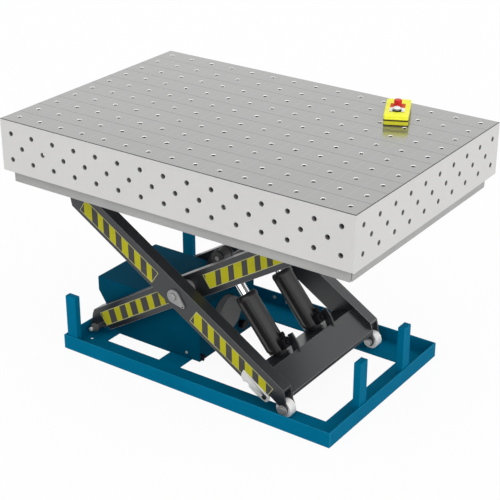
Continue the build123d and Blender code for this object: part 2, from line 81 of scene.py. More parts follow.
def inner(s, t):
    """A point of the inner arms as (x, z)."""
    return (MID[0] + s * math.cos(ANGLE) - t * math.sin(ANGLE),
            MID[1] + s * math.sin(ANGLE) + t * math.cos(ANGLE))


print("table top at", round(TOP_Z, 4), "centre pin at", [round(c, 4) for c in MID])

# %% [markdown]
# ## Camera, light and floor
# The camera stands where the photograph was taken from: 35 degrees round to the right and
# 25.6 degrees above the floor, through a long lens. A studio can be lit by lamps or by its
# surround. Here wide soft suns light the three faces that show. The surround lights the object
# only a little, so that it stays dark under the table, but the camera and the reflections see it
# white. The floor does the same: most of it glows, and the matt rest carries the shadow.

# %% Camera
back = Vector((0.5175, -0.7382, 0.4327)).normalized()
right = Vector((0, 0, 1)).cross(back).normalized()
up = back.cross(right)
camera = bpy.data.objects.new("camera", bpy.data.cameras.new("camera"))
stand = Matrix.Translation((2.6183, -3.7274, 2.6284))
camera.matrix_world = stand @ Matrix((right, up, back)).transposed().to_4x4()
camera.data.lens = 96.43
camera.data.sensor_width = 36
camera.data.clip_end = 100
bpy.context.collection.objects.link(camera)
scene = bpy.context.scene
scene.camera = camera
scene.view_settings.view_transform = "Standard"
print("lens", camera.data.lens, "mm")


# %% Lights
def sun(name, towards, strength, softness=70):
    """A soft sun that shines from the direction towards."""
    data = bpy.data.lights.new(name, "SUN")
    data.energy = strength
    data.angle = math.radians(softness)
    ob = bpy.data.objects.new(name, data)
    ob.rotation_euler = Vector(towards).to_track_quat("Z", "Y").to_euler()
    bpy.context.collection.objects.link(ob)


def seen_directly(tree):
    """1 for rays of the camera and of reflections, 0 for all other light."""
    path = tree.nodes.new("ShaderNodeLightPath")
    seen = tree.nodes.new("ShaderNodeMath")
    seen.operation = "MAXIMUM"
    tree.links.new(path.outputs["Is Camera Ray"], seen.inputs[0])
    tree.links.new(path.outputs["Is Glossy Ray"], seen.inputs[1])
    return seen.outputs[0]


sun("front_light", (0.15, -1.0, 0.30), 1.0)
sun("right_light", (1.0, -0.25, 0.20), 1.55)
sun("top_light", (0.1, -0.1, 1.0), 1.75, 110)
world = bpy.data.worlds.new("surround")
scene.world = world
world.use_nodes = True
tree = world.node_tree
dim = tree.nodes["Background"]
dim.inputs["Color"].default_value = (1, 1, 1, 1)
dim.inputs["Strength"].default_value = 0.32
bright = tree.nodes.new("ShaderNodeBackground")
bright.inputs["Color"].default_value = (1, 1, 1, 1)
bright.inputs["Strength"].default_value = 1.0
choice = tree.nodes.new("ShaderNodeMixShader")
tree.links.new(seen_directly(tree), choice.inputs["Fac"])
tree.links.new(dim.outputs["Background"], choice.inputs[1])
tree.links.new(bright.outputs["Background"], choice.inputs[2])
tree.links.new(choice.outputs["Shader"], tree.nodes["World Output"].inputs["Surface"])

# %% Floor
FLOOR_GLOW = 0.93
mesh = bpy.data.meshes.new("floor")
bm = bmesh.new()
bmesh.ops.create_grid(bm, x_segments=1, y_segments=1, size=12)
bm.to_mesh(mesh)
bm.free()
floor = bpy.data.objects.new("floor", mesh)
bpy.context.collection.objects.link(floor)
paper = bpy.data.materials.new("white_paper")
paper.use_nodes = True
tree = paper.node_tree
matt = tree.nodes["Principled BSDF"]
matt.inputs["Base Color"].default_value = (0.85, 0.85, 0.85, 1)
matt.inputs["Roughness"].default_value = 1.0
matt.inputs["Specular IOR Level"].default_value = 0.0
glow = tree.nodes.new("ShaderNodeEmission")
share = tree.nodes.new("ShaderNodeMath")
share.operation = "MULTIPLY"
share.inputs[1].default_value = FLOOR_GLOW
tree.links.new(seen_directly(tree), share.inputs[0])
blend = tree.nodes.new("ShaderNodeMixShader")
tree.links.new(share.outputs[0], blend.inputs["Fac"])
tree.links.new(matt.outputs["BSDF"], blend.inputs[1])
tree.links.new(glow.outputs["Emission"], blend.inputs[2])
tree.links.new(blend.outputs["Shader"], tree.nodes["Material Output"].inputs["Surface"])
mesh.materials.append(paper)
print("floor ready")

# %% [markdown]
# ## Materials
# Every material is a small node tree. Noise in object space makes the slow change of tone
# that paint and steel have, finer noise makes the bump, and the plain numbers sit on the
# shader itself.


# %% Node helpers
def noise(tree, vector, scale, detail):
    """A noise texture read at vector."""
    node = tree.nodes.new("ShaderNodeTexNoise")
    node.inputs["Scale"].default_value = scale
    node.inputs["Detail"].default_value = detail
    tree.links.new(vector, node.inputs["Vector"])
    return node


def tone(tree, factor, dark, light, low=0.3, high=0.7):
    """A ramp from dark to light while factor goes from low to high."""
    ramp = tree.nodes.new("ShaderNodeValToRGB")
    ramp.color_ramp.elements[0].position = low
    ramp.color_ramp.elements[0].color = (*dark, 1)
    ramp.color_ramp.elements[1].position = high
    ramp.color_ramp.elements[1].color = (*light, 1)
    tree.links.new(factor, ramp.inputs["Fac"])
    return ramp.outputs["Color"]


def mix(tree, factor, a, b):
    """Colour a where factor is 0 and b where it is 1; each is a colour or a socket."""
    node = tree.nodes.new("ShaderNodeMix")
    node.data_type = "RGBA"
    tree.links.new(factor, node.inputs["Factor"])
    for name, value in (("A", a), ("B", b)):
        if isinstance(value, tuple):
            node.inputs[name].default_value = (*value, 1)
        else:
            tree.links.new(value, node.inputs[name])
    return node.outputs["Result"]


def times(tree, value, factor):
    """The socket value times a plain number."""
    node = tree.nodes.new("ShaderNodeMath")
    node.operation = "MULTIPLY"
    node.inputs[1].default_value = factor
    tree.links.new(value, node.inputs[0])
    return node.outputs[0]


def engraving(tree, vector, axis, shift, width):
    """1 on thin lines across axis, one pitch apart."""
    split = tree.nodes.new("ShaderNodeSeparateXYZ")
    tree.links.new(vector, split.inputs["Vector"])
    value = split.outputs[axis]
    for kind, number in (("MULTIPLY", 1 / PITCH), ("ADD", shift), ("FRACT", 0), ("SUBTRACT", 0.5),
                         ("ABSOLUTE", 0), ("LESS_THAN", width / PITCH / 2)):
        step = tree.nodes.new("ShaderNodeMath")
        step.operation = kind
        step.inputs[1].default_value = number
        tree.links.new(value, step.inputs[0])
        value = step.outputs[0]
    return value


print("node helpers ready")


# %% Material maker
def material(name, colour, rough=0.5, metal=0.0, vary=0.06, scale=6.0, grain=0.03,
             grain_scale=400.0, gloss=0.3, rough_vary=0.0, lines=0.0):
    """Paint, steel or plastic: slow tone, fine bump, and, where lines is set, dark engraved lines
    along X and lighter lines along Y that are a painted highlight.
    """
    mat = bpy.data.materials.new(name)
    mat.use_nodes = True
    tree = mat.node_tree
    shader = tree.nodes["Principled BSDF"]
    shader.inputs["Metallic"].default_value = metal
    shader.inputs["Roughness"].default_value = rough
    shader.inputs["Specular IOR Level"].default_value = gloss
    coords = tree.nodes.new("ShaderNodeTexCoord")
    slow = noise(tree, coords.outputs["Object"], scale, 6)
    dark = [c * (1 - vary) for c in colour]
    light = [min(1, c * (1 + vary)) for c in colour]
    out = tone(tree, slow.outputs["Fac"], dark, light)
    if lines > 0:
        across = engraving(tree, coords.outputs["Object"], "X", 0.0, lines)
        along = engraving(tree, coords.outputs["Object"], "Y", 0.5, lines)
        # The lines along Y are lighter than the steel: a painted highlight.
        out = mix(tree, across, out, tuple(min(1, c * 1.2) for c in colour))
        out = mix(tree, along, out, tuple(c * 0.1 for c in colour))
    tree.links.new(out, shader.inputs["Base Color"])
    fine = noise(tree, coords.outputs["Object"], grain_scale, 3)
    if rough_vary > 0:
        spread = tree.nodes.new("ShaderNodeMapRange")
        spread.inputs["To Min"].default_value = rough - rough_vary
        spread.inputs["To Max"].default_value = rough + rough_vary
        tree.links.new(slow.outputs["Fac"], spread.inputs["Value"])
        tree.links.new(spread.outputs["Result"], shader.inputs["Roughness"])
    bump = tree.nodes.new("ShaderNodeBump")
    bump.inputs["Strength"].default_value = grain
    bump.inputs["Distance"].default_value = 0.001
    tree.links.new(fine.outputs["Fac"], bump.inputs["Height"])
    tree.links.new(bump.outputs["Normal"], shader.inputs["Normal"])
    return mat


# %% Steels
steel_top = material("table_steel", (0.392, 0.392, 0.387), rough=0.20, metal=0.8, vary=0.015,
                     scale=3, grain=0.015, grain_scale=900, gloss=0.1, rough_vary=0.03,
                     lines=0.0014)
steel_side = material("side_steel", (0.57, 0.565, 0.555), rough=0.5, vary=0.015, scale=4,
                      grain=0.05, grain_scale=900, gloss=0.1)
# The top holes' chamfer and upper bore are near white, a painted highlight on the bore mouth.
bore_painted_highlight = material("bore_painted_highlight", (0.95, 0.95, 0.94), rough=0.30, metal=0.5, vary=0.03,
                       scale=40)
# Near black below the bright mouth: painted shade inside the bore.
bore_painted_shade = material("bore_painted_shade", (0.012, 0.012, 0.012), rough=0.6, vary=0.2, scale=60, gloss=0.1)
# The side holes' bore and mouth are dark grey: painted shade inside the holes.
side_bore_painted_shade = material("side_bore_painted_shade", (0.17, 0.17, 0.17), rough=0.6, vary=0.1, scale=60, gloss=0.1)
# The top plate's bevel is near black: painted shade in the seam along the top edge.
seam_painted_shade = material("table_edge_painted_shade", (0.05, 0.05, 0.05), rough=0.5, vary=0.05, gloss=0.1)
deck_paint = material("deck_paint", (0.36, 0.36, 0.355), rough=0.45, grain=0.03, gloss=0.15)
pin_steel = material("pin_steel", (0.42, 0.42, 0.41), rough=0.35, metal=0.4, vary=0.1, scale=40)
print("steels ready")

# %% Paints and plastics
arm_paint = material("arm_paint", (0.013, 0.015, 0.018), rough=0.30, vary=0.10, gloss=0.62)
# A lighter paint for the arms' rounded edges: a painted highlight.
arm_edge_painted_highlight = material("arm_edge_painted_highlight", (0.19, 0.19, 0.19), rough=0.35, vary=0.15, scale=15, gloss=0.4)
cylinder_paint = material("cylinder_paint", (0.019, 0.019, 0.019), rough=0.34, vary=0.12,
                          gloss=0.30)
base_paint = material("base_paint", (0.0, 0.132, 0.245), rough=0.45, vary=0.07, gloss=0.01)
# A lighter blue for the walls' rounded edges: a painted highlight.
base_edge_painted_highlight = material("base_edge_painted_highlight", (0.0, 0.17, 0.30), rough=0.4, vary=0.1, scale=15, gloss=0.1)
unit_paint = material("unit_paint", (0.0, 0.066, 0.122), rough=0.45, vary=0.07, gloss=0.01)
motor_paint = material("motor_paint", (0.15, 0.15, 0.15), rough=0.5, grain=0.08, gloss=0.15)
valve_black = material("valve_black", (0.006, 0.006, 0.008), rough=0.45, vary=0.2, gloss=0.06)
roller_white = material("roller_plastic", (0.88, 0.86, 0.85), rough=0.45, vary=0.06, scale=30)
prop_grey = material("prop_grey", (0.66, 0.66, 0.65), rough=0.4, metal=0.3, vary=0.08)
flag_grey = material("flag_grey", (0.30, 0.30, 0.30), rough=0.4, metal=0.3, vary=0.08)
yellow_base = material("pendant_base_yellow", (0.52, 0.51, 0.03), rough=0.4, vary=0.02, scale=20,
                       gloss=0.1)
yellow = material("pendant_yellow", (0.84, 0.83, 0.05), rough=0.4, vary=0.02, scale=20, gloss=0.15)
red = material("button_red", (0.55, 0.010, 0.012), rough=0.3, vary=0.05, scale=30)
label_white = material("label_white", (0.80, 0.80, 0.79), rough=0.5, vary=0.03, scale=30, gloss=0.1)
rubber_and_painted_shade = material("gasket_rubber_and_painted_shade", (0.060, 0.050, 0.008), rough=0.6, vary=0.1, scale=15, gloss=0.1)
print("paints ready")

# %% Sticker finishes
sticker_yellow = material("sticker_yellow", (0.42, 0.40, 0.015), rough=0.5, vary=0.06, scale=15,
                          gloss=0.08)
sticker_dark = material("sticker_dark", (0.060, 0.058, 0.060), rough=0.5, vary=0.08, scale=15,
                        gloss=0.1)
sticker_rim = material("sticker_rim", (0.42, 0.41, 0.20), rough=0.5, vary=0.04, scale=15, gloss=0.1)
print(len(bpy.data.materials), "materials")


# %% [markdown]
# ## The rod with its painted eye
# Rod and eye are one forging: chrome along the stroke, paint on the eye, bare steel on the
# end of the pin, with thin near-black rings of painted shade in the seams between them. One
# material tells them apart by the distance from the pin's axis.

# %% Rod material
foot_xz = outer(0.4213, -0.0182)
eye_xz = inner(0.106, 0.046)


def rod_material():
    """Bare pin end, painted eye and chrome rod, as rings round the pin's axis, with thin rings of
    painted shade between them.
    """
    mat = bpy.data.materials.new("rod_and_eye")
    mat.use_nodes = True
    tree = mat.node_tree
    shader = tree.nodes["Principled BSDF"]
    coords = tree.nodes.new("ShaderNodeTexCoord")
    shift = tree.nodes.new("ShaderNodeVectorMath")
    shift.operation = "SUBTRACT"
    shift.inputs[1].default_value = (eye_xz[0], 0, eye_xz[1])
    tree.links.new(coords.outputs["Object"], shift.inputs[0])
    flat = tree.nodes.new("ShaderNodeVectorMath")
    flat.operation = "MULTIPLY"
    flat.inputs[1].default_value = (1, 0, 1)
    tree.links.new(shift.outputs["Vector"], flat.inputs[0])
    length = tree.nodes.new("ShaderNodeVectorMath")
    length.operation = "LENGTH"
    tree.links.new(flat.outputs["Vector"], length.inputs[0])
    reach = 0.05
    share = times(tree, length.outputs["Value"], 1 / reach)
    ramp = tree.nodes.new("ShaderNodeValToRGB")
    ramp.color_ramp.interpolation = "CONSTANT"
    # The two 0.004 rings are painted shade in the seams round the pin end and round the eye.
    rings = ((0.0, 0.35), (0.009, 0.004), (0.0115, 0.055), (0.030, 0.004), (0.0315, 0.85))
    for k, (radius, level) in enumerate(rings):
        stops = ramp.color_ramp.elements
        stop = stops[k] if k < len(stops) else stops.new(radius / reach)
        stop.position = radius / reach
        stop.color = (level, level, level, 1)
    tree.links.new(share, ramp.inputs["Fac"])
    tree.links.new(ramp.outputs["Color"], shader.inputs["Base Color"])
    chrome_from, chrome_full = 0.62, 0.63
    bare = tone(tree, share, (0, 0, 0), (1, 1, 1), chrome_from, chrome_full)
    tree.links.new(bare, shader.inputs["Metallic"])
    rough = tone(tree, share, (0.45, 0.45, 0.45), (0.08, 0.08, 0.08), chrome_from, chrome_full)
    tree.links.new(rough, shader.inputs["Roughness"])
    return mat


rod_look = rod_material()
shaft_look = material("shaft_steel", (0.16, 0.16, 0.155), rough=0.4, metal=0.3, vary=0.1, scale=40)
print("rod eye at", [round(c, 4) for c in eye_xz])

# %% [markdown]
# ## The pendant's plate and button
# Both are one CAD piece with two tones. The plate has a painted shadow round the white button, told
# by the distance from its middle; the button has painted shade on its flanks, told by how a face
# points.

# %% Plate and button materials
PENDANT = Matrix.Translation((0.426, 0.328, TOP_Z)) @ Matrix.Rotation(math.radians(25.3), 4, "Z")
BUTTON = (0, -0.040, 0.042)
# The radius of the painted shadow round the white button.
BUTTON_SHADOW_RADIUS = 0.0176


def plate_material():
    """Orange, with a painted shadow in a ring round the white button."""
    mat = material("plate_orange", (0.62, 0.07, 0.015), rough=0.5, vary=0.05, scale=30, gloss=0.1)
    tree = mat.node_tree
    shader = tree.nodes["Principled BSDF"]
    colour = shader.inputs["Base Color"].links[0].from_socket
    coords = tree.nodes.new("ShaderNodeTexCoord")
    away = tree.nodes.new("ShaderNodeVectorMath")
    away.operation = "DISTANCE"
    away.inputs[1].default_value = PENDANT @ Vector(BUTTON)
    tree.links.new(coords.outputs["Object"], away.inputs[0])
    button_shadow = tree.nodes.new("ShaderNodeMath")
    button_shadow.operation = "LESS_THAN"
    button_shadow.inputs[1].default_value = BUTTON_SHADOW_RADIUS
    tree.links.new(away.outputs["Value"], button_shadow.inputs[0])
    # Dark olive within that radius: the painted shadow of the button.
    out = mix(tree, button_shadow.outputs[0], colour, (0.055, 0.050, 0.012))
    tree.links.new(out, shader.inputs["Base Color"])
    return mat


def button_material():
    """White on top, with painted shade on the flanks, told apart by the way a face points."""
    mat = material("button_white", (0.80, 0.80, 0.80), rough=0.3, vary=0.03, scale=30)
    tree = mat.node_tree
    shader = tree.nodes["Principled BSDF"]
    colour = shader.inputs["Base Color"].links[0].from_socket
    coords = tree.nodes.new("ShaderNodeTexCoord")
    split = tree.nodes.new("ShaderNodeSeparateXYZ")
    tree.links.new(coords.outputs["Normal"], split.inputs["Vector"])
    shaded_flank = tree.nodes.new("ShaderNodeMath")
    shaded_flank.operation = "LESS_THAN"
    shaded_flank.inputs[1].default_value = 0.5
    tree.links.new(split.outputs["Z"], shaded_flank.inputs[0])
    # Faces that point sideways turn grey-blue: painted shade on the flanks.
    out = mix(tree, shaded_flank.outputs[0], colour, (0.30, 0.33, 0.38))
    tree.links.new(out, shader.inputs["Base Color"])
    return mat


plate_look = plate_material()
button_look = button_material()
print("plate and button materials ready")

# %% [markdown]
# ## Looks and edges of the CAD nodes
# Each node takes its look by name or by how its name starts, and plain steel otherwise. Sheet
# and tube have small radii on the real table, so a weld and a bevel round the sharp CAD edges.
# Nodes that a later cell replaces aren't listed.

# %% Paint the CAD nodes
looks = {
    "platform_deck": deck_paint, "hinge_lugs": deck_paint,
    "roller_rails": deck_paint, "torque_tube": arm_paint, "rod_brackets": arm_paint,
    "cross_plate": arm_paint, "foot_clevises": arm_paint, "floor_pan": base_paint,
    "pivot_lugs": base_paint, "power_unit_cover": unit_paint, "pump_motor": motor_paint,
    "pump_fittings": valve_black, "service_prop": prop_grey, "red_button": red,
    "white_button": button_look, "button_plates": plate_look, "prop_pin": arm_paint,
    "pendant_base": yellow_base, "pivot_shaft": shaft_look, "rod_front": rod_look,
    "rod_back": rod_look,
}
starts = {
    "table_": steel_side, "inner_arm": arm_paint, "outer_arm": arm_paint, "wall_": base_paint,
    "floor_strip": base_paint, "posts_": base_paint, "barrel_": cylinder_paint,
    "lower_roller": roller_white, "upper_roller": roller_white, "pendant_": yellow,
}
for name, ob in nodes.items():
    look = looks.get(name)
    if look is None:
        found = [mat for start, mat in starts.items() if name.startswith(start)]
        look = found[0] if found else pin_steel
    ob.data.materials.clear()
    ob.data.materials.append(look)
print("painted", len(nodes))


# %% Round the CAD edges
def soften(name, width, edge_highlight=None):
    """Rounds the sharp edges; where a look is given for them, the rounded strips take it, a lighter
    colour that is a painted highlight.
    """
    ob = nodes[name]
    weld = ob.modifiers.new("weld", "WELD")
    weld.merge_threshold = 0.00001
    bevel = ob.modifiers.new("bevel", "BEVEL")
    bevel.width = width
    bevel.segments = 2
    bevel.limit_method = "ANGLE"
    bevel.angle_limit = math.radians(35)
    bevel.harden_normals = True
    if edge_highlight:
        ob.data.materials.append(edge_highlight)
        bevel.material = 1


# The second entry is the lighter look of the rounded strips, a painted highlight.
widths = {
    "inner_arm": (0.004, arm_edge_painted_highlight), "outer_arm": (0.004, arm_edge_painted_highlight), "wall_": (0.0015, base_edge_painted_highlight),
    "posts_": (0.003, None), "power_unit_cover": (0.006, None), "service_prop": (0.0012, None),
    "cross_plate": (0.0015, arm_edge_painted_highlight), "barrel_": (0.001, None),
}
for name in nodes:
    for start, (width, edge_highlight) in widths.items():
        if name.startswith(start):
            soften(name, width, edge_highlight)
print("edges rounded")


# %% [markdown]
# ## Perforated plates
# The CAD plates carry few-sided holes to keep the model light. The holes could be cut with a
# boolean, but 150 cuts are slow and leave ragged faces. Here one bore is bridged from circles
# and copied to every place, and each side of the plate is one outline filled round its holes.


# %% Outlines, fills and bores
def outline(bm, span, z):
    """The four edges of a rectangle (u0, u1, v0, v1) at height z."""
    u0, u1, v0, v1 = span
    verts = [bm.verts.new((u, v, z)) for u, v in ((u0, v0), (u1, v0), (u1, v1), (u0, v1))]
    return [bm.edges.new((verts[k], verts[(k + 1) % 4])) for k in range(4)]


def circle(bm, radius, z, at=(0, 0)):
    """The edges of a circle of 32 sides at height z."""
    made = bmesh.ops.create_circle(bm, cap_ends=False, segments=32, radius=radius,
                                   matrix=Matrix.Translation((*at, z)))
    return list({e for v in made["verts"] for e in v.link_edges})


def sheet(bm, span, z, radius, spots, index=0):
    """One side of the plate: a rectangle filled round its holes."""
    edges = outline(bm, span, z)
    for spot in spots:
        edges += circle(bm, radius, z, spot)
    made = bmesh.ops.triangle_fill(bm, use_beauty=True, edges=edges, normal=(0, 0, 1))
    for item in made["geom"]:
        if isinstance(item, bmesh.types.BMFace):
            item.material_index = index


def bore(chamfer, depth):
    """A chamfered bore: material 3 down to depth, 4 below; on the top plate 3 is a painted
    highlight and 4 painted shade, on the sides both are painted shade.
    """
    bm = bmesh.new()
    rings = [circle(bm, HOLE + chamfer, 0), circle(bm, HOLE, -chamfer),
             circle(bm, HOLE, -depth), circle(bm, HOLE, -PLATE)]
    for k, look in enumerate((3, 3, 4)):
        made = bmesh.ops.bridge_loops(bm, edges=rings[k] + rings[k + 1])
        for face in made["faces"]:
            face.material_index = look
    mesh = bpy.data.meshes.new("bore")
    bm.to_mesh(mesh)
    bm.free()
    return mesh


print("fills and bores ready")


# %% Plate maker
def new_object(bm, name, looks):
    """Turns bm into an object with these materials."""
    mesh = bpy.data.meshes.new(name)
    bm.to_mesh(mesh)
    bm.free()
    for look in looks:
        mesh.materials.append(look)
    ob = bpy.data.objects.new(name, mesh)
    bpy.context.collection.objects.link(ob)
    return ob


def perforated(name, matrix, span, rows, looks, bevel=0.0012, chamfer=0.0015, depth=0.005):
    """A flat plate placed by matrix; rows is [(v, [u, ...]), ...]; looks are its five
    materials: face, wall, bevel, bore mouth and bore."""
    u0, u1, v0, v1 = span
    spots = [(u, v) for v, row in rows for u in row]
    bm = bmesh.new()
    small = (u0 + bevel, u1 - bevel, v0 + bevel, v1 - bevel)
    sheet(bm, small, 0, HOLE + chamfer, spots)
    sheet(bm, span, -PLATE, HOLE, spots, 1)
    steps = [(small, 0), (span, -bevel), (span, -PLATE)]
    for k, look in ((0, 2), (1, 1)):
        pair = outline(bm, *steps[k]) + outline(bm, *steps[k + 1])
        for face in bmesh.ops.bridge_loops(bm, edges=pair)["faces"]:
            face.material_index = look
    hole = bore(chamfer, depth)
    for u, v in spots:
        first = len(bm.verts)
        bm.from_mesh(hole)
        bm.verts.ensure_lookup_table()
        bmesh.ops.translate(bm, verts=bm.verts[first:], vec=(u, v, 0))
    bpy.data.meshes.remove(hole)
    bmesh.ops.remove_doubles(bm, verts=bm.verts, dist=0.00001)
    bmesh.ops.recalc_face_normals(bm, faces=bm.faces)
    bmesh.ops.transform(bm, matrix=matrix, verts=bm.verts)
    loose = len([e for e in bm.edges if not e.is_manifold])
    print(name, "faces", len(bm.faces), "open edges", loose)
    return new_object(bm, name, looks)


def spread(count):
    """Places of count holes, one pitch apart, about the middle."""
    return [(i - (count - 1) / 2) * PITCH for i in range(count)]


def frame_matrix(origin, across, upward):
    """Places a flat plate: u along across, v along upward, w out of its face."""
    a = Vector(across)
    b = Vector(upward)
    turned = Matrix((a, b, a.cross(b))).transposed().to_4x4()
    return Matrix.Translation(origin) @ turned


print("plate maker ready")

# %% Table top and sides
half_x = 0.75
half_y = 0.5
# On the top plate the bevel is painted shade, the bore mouth a painted highlight and the bore
# painted shade.
top_looks = [steel_top, steel_side, seam_painted_shade, bore_painted_highlight, bore_painted_shade]
top = perforated("top_plate", frame_matrix((0, 0, TOP_Z), (1, 0, 0), (0, 1, 0)),
                 (-half_x, half_x, -half_y, half_y), [(v, spread(15)) for v in spread(10)],
                 top_looks, bevel=0.002, chamfer=0.0010, depth=0.0032)
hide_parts("table_top")
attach(top, "platform")
# The side plates' bore mouth and bore both take the dark grey painted shade.
side_looks = [steel_side, steel_side, steel_side, side_bore_painted_shade, side_bore_painted_shade]
short_y = half_y - PLATE
plates = {
    "front": ((0, -half_y, 0), (1, 0, 0), half_x, 15),
    "back": ((0, half_y, 0), (-1, 0, 0), half_x, 15),
    "right": ((half_x, 0, 0), (0, 1, 0), short_y, 10),
    "left": ((-half_x, 0, 0), (0, -1, 0), short_y, 10),
}
for side, (origin, across, reach, count) in plates.items():
    rows = [(TOP_Z - 1.5 * PITCH, spread(count)), (TOP_Z - PITCH, spread(count - 1)),
            (TOP_Z - 0.5 * PITCH, spread(count))]
    plate = perforated(side + "_plate", frame_matrix(origin, across, (0, 0, 1)),
                       (-reach, reach, DECK_Z, TOP_Z - PLATE), rows, side_looks, bevel=0.0003)
    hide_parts("table_" + side)
    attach(plate, "platform")
print("plates made")


# %% [markdown]
# ## Hazard stickers on the arms
# A sticker could be a picture on the arm, but a thin sheet cut by straight lines follows the
# real one: a printed strip with a pale rim and slanted bars. One quad is cut by bisecting
# planes and its pieces take the colour of the bar or the ground.


# %% Sticker maker
THIN = 0.0004
OFF_FACE = 0.0001


def sticker(name, place, y, reach, shift, bars, lean, body):
    """reach is (s0, s1); shift(s) the middle line's t; bars is [(start, end), ...] in s."""
    side = 1 if y > 0 else -1
    s0, s1 = reach
    half = 0.029
    rim = 0.0026
    bm = bmesh.new()
    corners = [(s0, -half), (s1, -half), (s1, half), (s0, half)]
    bm.faces.new([bm.verts.new((s, t, 0)) for s, t in corners])

    def cut(point, normal):
        geom = bm.verts[:] + bm.edges[:] + bm.faces[:]
        bmesh.ops.bisect_plane(bm, geom=geom, plane_co=point, plane_no=normal, dist=0.00001)

    cut((0, half - rim, 0), (0, 1, 0))
    cut((0, rim - half, 0), (0, 1, 0))
    cut((s0 + rim, 0, 0), (1, 0, 0))
    cut((s1 - rim, 0, 0), (1, 0, 0))
    for start, end in bars:
        cut((start, 0, 0), (1, -lean, 0))
        cut((end, 0, 0), (1, -lean, 0))
    for face in bm.faces:
        c = face.calc_center_median()
        along = c.x - lean * c.y
        if abs(c.y) > half - rim or c.x < s0 + rim or c.x > s1 - rim:
            face.material_index = 2
        elif any(start < along < end for start, end in bars):
            face.material_index = 1
    for v in bm.verts:
        x, z = place(v.co.x, v.co.y + shift(v.co.x))
        v.co = (x, y, z)
    bm.normal_update()
    bmesh.ops.solidify(bm, geom=bm.faces[:], thickness=THIN)
    bmesh.ops.recalc_face_normals(bm, faces=bm.faces)
    low = min(side * v.co.y for v in bm.verts)
    bmesh.ops.translate(bm, verts=bm.verts, vec=(0, side * (side * y + OFF_FACE - low), 0))
    ob = new_object(bm, name, [sticker_yellow, sticker_dark, sticker_rim])
    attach(ob, body)


print("sticker maker ready")


# %% The eight stickers
def bars_at(starts, wide):
    """Bars of one width from the places where they start."""
    return [(start, start + wide) for start in starts]


def on_outer(s):
    """The middle line of the stickers on the outer arms."""
    return s * SKEW - 0.007


def on_inner(s):
    """The middle line of the stickers on the inner arms."""
    return -s * SKEW - 0.004


strips = {
    "outer_upper": (outer, OUTER_Y, (-0.497, -0.100), on_outer,
                    bars_at((-0.5226, -0.4450, -0.3820, -0.3140, -0.2450, -0.1780, -0.1171), 0.033),
                    -0.669, "outer_arms"),
    "outer_lower": (outer, OUTER_Y, (0.102, 0.500), on_outer,
                    bars_at((0.0754, 0.1494, 0.2123, 0.2748, 0.3423, 0.4120, 0.4813), 0.0313),
                    -0.669, "outer_arms"),
    "inner_lower": (inner, INNER_Y, (-0.508, -0.106), on_inner,
                    bars_at((-0.5410, -0.4667, -0.3989, -0.3365, -0.2720, -0.2045, -0.1420),
                            0.0355),
                    0.29, "inner_arms"),
    "inner_upper": (inner, INNER_Y, (0.093, 0.480), on_inner,
                    bars_at((0.0630, 0.1441, 0.2116, 0.2814, 0.3474, 0.4072), 0.0284),
                    0.53, "inner_arms"),
}
for kind, (place, y, reach, shift, bars, lean, body) in strips.items():
    for side, word in ((-1, "front"), (1, "back")):
        sticker("sticker_" + kind + "_" + word, place, side * y, reach, shift, bars, lean, body)


# %% [markdown]
# ## Small turned and welded pieces
# Bolts, caps and rings are turned shapes: a profile of a few points spun round an axis.


# %% Turned piece maker
def standing(origin, axis):
    """Places a piece drawn up +Z so that it stands on origin and points along axis."""
    z = Vector(axis).normalized()
    x = z.orthogonal().normalized()
    y = z.cross(x)
    return Matrix.Translation(origin) @ Matrix((x, y, z)).transposed().to_4x4()


def merge(bm, piece):
    """Adds piece to bm and frees it."""
    mesh = bpy.data.meshes.new("piece")
    piece.to_mesh(mesh)
    piece.free()
    bm.from_mesh(mesh)
    bpy.data.meshes.remove(mesh)


def round_edges(bm, edges, offset, segments=2):
    """Rounds the edges; with one segment it chamfers them."""
    bmesh.ops.bevel(bm, geom=edges, offset=offset, offset_type="OFFSET", segments=segments,
                    profile=0.5, affect="EDGES", material=-1)


def rounded_box(middle, size, radius):
    """A new bmesh: a box with all its edges rounded."""
    bm = bmesh.new()
    place = Matrix.Translation(middle) @ Matrix.Diagonal((*size, 1))
    bmesh.ops.create_cube(bm, size=1, matrix=place)
    round_edges(bm, bm.edges[:], radius)
    return bm


def spun(bm, profile, origin, axis, segments=24):
    """Spins (radius, height) points round axis at origin, and adds them to bm."""
    piece = bmesh.new()
    verts = [piece.verts.new((r, 0, h)) for r, h in profile]
    edges = [piece.edges.new((verts[k], verts[k + 1])) for k in range(len(verts) - 1)]
    bmesh.ops.spin(piece, geom=verts + edges, cent=(0, 0, 0), axis=(0, 0, 1),
                   angle=2 * math.pi, steps=segments, use_merge=True)
    bmesh.ops.remove_doubles(piece, verts=piece.verts, dist=0.000001)
    bmesh.ops.recalc_face_normals(piece, faces=piece.faces)
    bmesh.ops.transform(piece, matrix=standing(origin, axis), verts=piece.verts)
    merge(bm, piece)


def hexagon(bm, origin, axis, across, height):
    """A hexagon head with its top edge chamfered, standing on origin along axis."""
    z = Vector(axis).normalized()
    place = standing(origin, axis) @ Matrix.Translation((0, 0, height / 2))
    radius = across / math.sqrt(3)
    made = bmesh.ops.create_cone(bm, cap_ends=True, segments=6, radius1=radius, radius2=radius,
                                 depth=height, matrix=place)
    top_edges = [e for v in made["verts"] for e in v.link_edges
                 if all(((u.co - Vector(origin)).dot(z)) > height * 0.9 for u in e.verts)]
    round_edges(bm, list(set(top_edges)), height * 0.2, 1)


def finished(bm, name, look, body):
    """A smooth-shaded object of one material that rides on body."""
    ob = new_object(bm, name, [look])
    for polygon in ob.data.polygons:
        polygon.use_smooth = True
    ob.data.set_sharp_from_angle(angle=math.radians(35))
    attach(ob, body)
    return ob


print("small piece makers ready")

